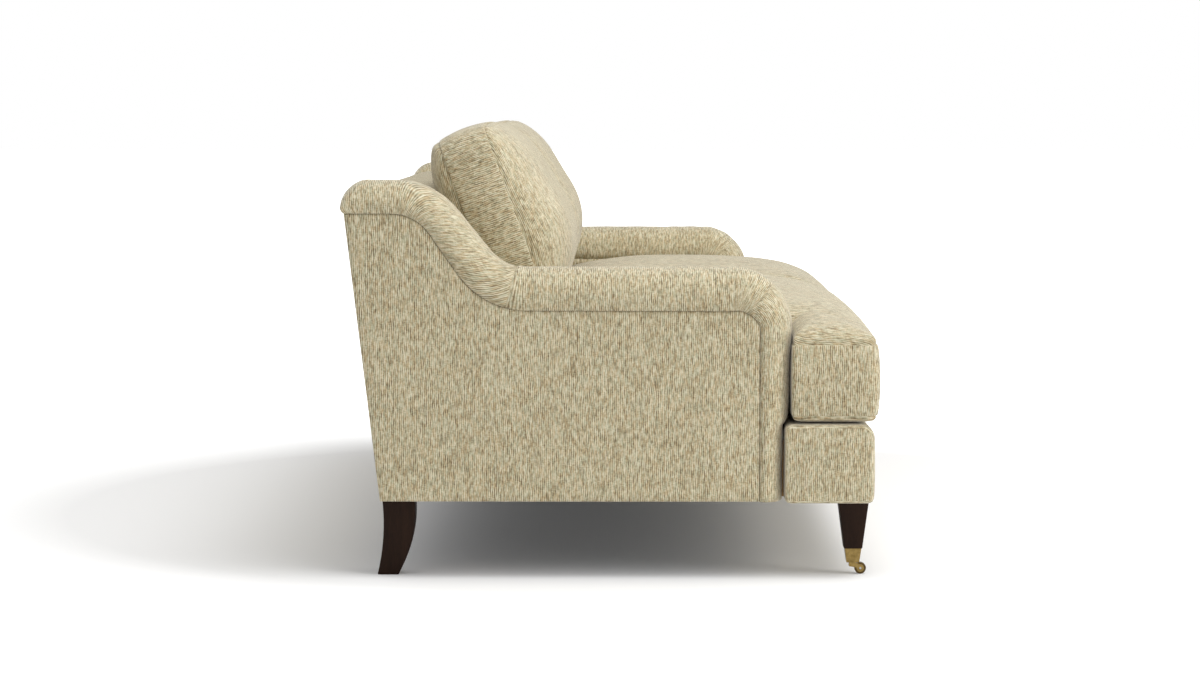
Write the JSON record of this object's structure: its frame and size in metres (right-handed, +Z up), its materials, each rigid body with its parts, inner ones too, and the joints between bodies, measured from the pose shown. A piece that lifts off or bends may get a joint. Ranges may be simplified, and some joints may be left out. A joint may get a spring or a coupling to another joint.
{
  "type": "roll arm sofa",
  "caption": "Sofa with low rolled arms that rise to the back, loose seat cushions with front ears, loose back cushions, square tapered front legs on brass casters and curved rear legs.",
  "frame": {"origin": "on the floor, under the middle of the sofa's length and depth", "axes": "+X along the sofa's length, the front faces -Y, +Z up; left is -X and right is +X, as seen from the front"},
  "size_m": [2.1, 1.013, 0.8586],
  "materials": {
    "upholstery_fabric": "heathered chenille weave, matt",
    "padding": "fibre wadding, matt",
    "cushion_filling": "feather and foam filling in a cotton case",
    "frame_timber": "planed, unfinished",
    "leg_wood": "dark stain, satin lacquer",
    "caster_brass": "aged brass, satin",
    "wheel_brass": "darkened brass, turned",
    "steel": "bright zinc",
    "webbing": "woven jute straps",
    "hessian": "open jute weave",
    "dust_cloth": "black spunbond cloth",
    "zip_tape": "coil zip on a woven tape"
  },
  "bodies": {
    "frame": {"arm_board_left": "frame_timber", "arm_board_right": "frame_timber", "arm_cover_left": "upholstery_fabric", "arm_cover_right": "upholstery_fabric", "arm_roll_left": "padding", "arm_roll_right": "padding", "arm_stump_left": "frame_timber", "arm_stump_right": "frame_timber", "arm_tack_rails": "frame_timber", "back_post_left": "frame_timber", "back_post_right": "frame_timber", "back_rail": "frame_timber", "back_tack_rail": "frame_timber", "back_top_rail": "frame_timber", "back_webbing": "webbing", "border_cover": "upholstery_fabric", "border_pad": "padding", "caster_cup_left": "caster_brass", "caster_cup_right": "caster_brass", "caster_screws": "caster_brass", "centre_rail": "frame_timber", "corner_blocks": "frame_timber", "dust_cover": "dust_cloth", "front_leg_left": "leg_wood", "front_leg_right": "leg_wood", "front_rail": "frame_timber", "inside_arm_pad_left": "upholstery_fabric", "inside_arm_pad_right": "upholstery_fabric", "inside_back_cover": "upholstery_fabric", "inside_back_pad": "padding", "leg_bolts": "steel", "outside_arm_panel_left": "upholstery_fabric", "outside_arm_panel_right": "upholstery_fabric", "outside_back_panel": "upholstery_fabric", "rear_leg_left": "leg_wood", "rear_leg_right": "leg_wood", "seat_deck": "padding", "seat_springs": "steel", "side_rail_left": "frame_timber", "side_rail_right": "frame_timber", "spring_clips": "steel", "spring_hessian": "hessian"},
    "seat_cushion_left": {"seat_cushion_cover_left": "upholstery_fabric", "seat_cushion_core_left": "cushion_filling", "seat_cushion_zip_left": "zip_tape"},
    "seat_cushion_right": {"seat_cushion_cover_right": "upholstery_fabric", "seat_cushion_core_right": "cushion_filling", "seat_cushion_zip_right": "zip_tape"},
    "back_cushion_left": {"back_cushion_cover_left": "upholstery_fabric", "back_cushion_core_left": "cushion_filling", "back_cushion_zip_left": "zip_tape"},
    "back_cushion_right": {"back_cushion_cover_right": "upholstery_fabric", "back_cushion_core_right": "cushion_filling", "back_cushion_zip_right": "zip_tape"},
    "caster_left": {"caster_fork_left": "caster_brass", "caster_axle_left": "steel"},
    "caster_right": {"caster_fork_right": "caster_brass", "caster_axle_right": "steel"},
    "wheel_left": {"caster_wheel_left": "wheel_brass"},
    "wheel_right": {"caster_wheel_right": "wheel_brass"}
  },
  "joints": [
    {"name": "seat_cushion_pull_left", "type": "slide", "parent": "frame", "child": "seat_cushion_left", "axis": [0, -1, 0], "range_m": [0, 0.8]},
    {"name": "back_cushion_lift_left", "type": "slide", "parent": "frame", "child": "back_cushion_left", "axis": [0, 0.342, 0.9397], "range_m": [0, 0.45]},
    {"name": "caster_swivel_left", "type": "hinge", "parent": "frame", "child": "caster_left", "pos_m": [-0.974, -0.458, 0.0225], "axis": [0, 0, 1], "continuous": true},
    {"name": "wheel_roll_left", "type": "hinge", "parent": "caster_left", "child": "wheel_left", "pos_m": [-0.974, -0.4725, 0.011], "axis": [1, 0, 0], "continuous": true},
    {"name": "seat_cushion_pull_right", "type": "slide", "parent": "frame", "child": "seat_cushion_right", "axis": [0, -1, 0], "range_m": [0, 0.8]},
    {"name": "back_cushion_lift_right", "type": "slide", "parent": "frame", "child": "back_cushion_right", "axis": [0, 0.342, 0.9397], "range_m": [0, 0.45]},
    {"name": "caster_swivel_right", "type": "hinge", "parent": "frame", "child": "caster_right", "pos_m": [0.974, -0.458, 0.0225], "axis": [0, 0, 1], "continuous": true},
    {"name": "wheel_roll_right", "type": "hinge", "parent": "caster_right", "child": "wheel_right", "pos_m": [0.974, -0.4725, 0.011], "axis": [1, 0, 0], "continuous": true}
  ]
}
